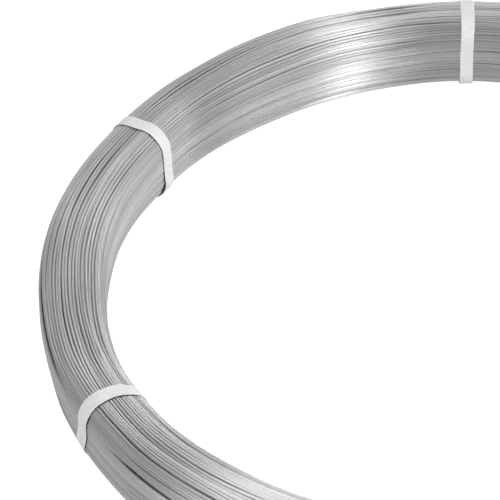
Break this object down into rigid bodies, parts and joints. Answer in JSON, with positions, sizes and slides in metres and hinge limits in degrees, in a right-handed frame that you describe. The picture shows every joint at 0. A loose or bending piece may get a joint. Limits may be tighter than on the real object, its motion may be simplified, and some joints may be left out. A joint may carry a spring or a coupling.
{
  "type": "coil of oval fence wire",
  "caption": "Round coil of galvanised oval steel fence wire lying flat, its bundled turns tied by flat white straps round the bundle",
  "frame": {"origin": "centre of the coil's eye, at the level of the straps' flat undersides that the coil rests on", "axes": "+Z along the coil's axis, up; +Y through the middle of the first strap"},
  "size_m": [0.722, 0.7238, 0.0819],
  "materials": {
    "zinc_wire": "satin galvanised",
    "strap_tape": "matte woven polypropylene"
  },
  "bodies": {
    "root": {"wire_coil": "zinc_wire", "strap_1": "strap_tape", "strap_2": "strap_tape", "strap_3": "strap_tape", "strap_4": "strap_tape", "strap_5": "strap_tape", "strap_6": "strap_tape"}
  },
  "joints": []
}
